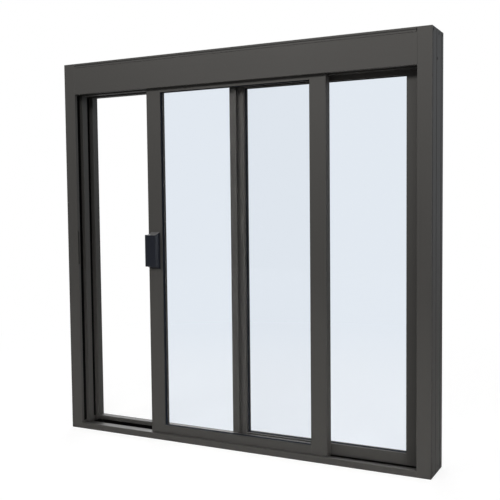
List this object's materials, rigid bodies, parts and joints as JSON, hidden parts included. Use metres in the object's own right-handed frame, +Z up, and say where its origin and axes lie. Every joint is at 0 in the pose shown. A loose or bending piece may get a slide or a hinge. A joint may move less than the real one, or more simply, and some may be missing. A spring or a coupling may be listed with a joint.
{
  "type": "sliding service window",
  "caption": "Dark bronze aluminium service window: a deep-headed frame with a glazed sash that slides sideways past a fixed glazed light.",
  "frame": {"origin": "centre of the sill's underside", "axes": "+X to the right seen from the service side, +Y from the service side to the back, +Z up"},
  "size_m": [1.232, 0.1297, 1.2192],
  "materials": {
    "bronze": "dark bronze anodised, satin",
    "glass": "clear polished",
    "gasket": "matt black",
    "nylon": "matt",
    "steel": "zinc plated",
    "mill_aluminium": "mill finish",
    "pull": "black satin"
  },
  "bodies": {
    "root": {"left_jamb": "bronze", "right_jamb": "bronze", "header": "bronze", "header_cover": "bronze", "sill": "bronze", "roller_track": "mill_aluminium", "closing_seal": "gasket", "rear_pocket_seal": "gasket", "rear_sill_strip": "gasket", "front_sill_strip": "gasket", "sill_guide": "nylon", "fixed_meeting_stile": "bronze", "fixed_side_stile": "bronze", "fixed_top_rail": "bronze", "fixed_bottom_rail": "bronze", "fixed_glass": "glass", "fixed_front_gasket": "gasket", "fixed_rear_gasket": "gasket", "sash_lead_stile": "bronze", "sash_meeting_stile": "bronze", "sash_top_rail": "bronze", "sash_bottom_rail": "bronze", "sash_glass": "glass", "sash_front_gasket": "gasket", "sash_rear_gasket": "gasket", "interlock_pile": "gasket", "sash_pull": "pull", "left_hanger": "steel", "right_hanger": "steel", "left_roller": "nylon", "right_roller": "nylon"}
  },
  "joints": []
}
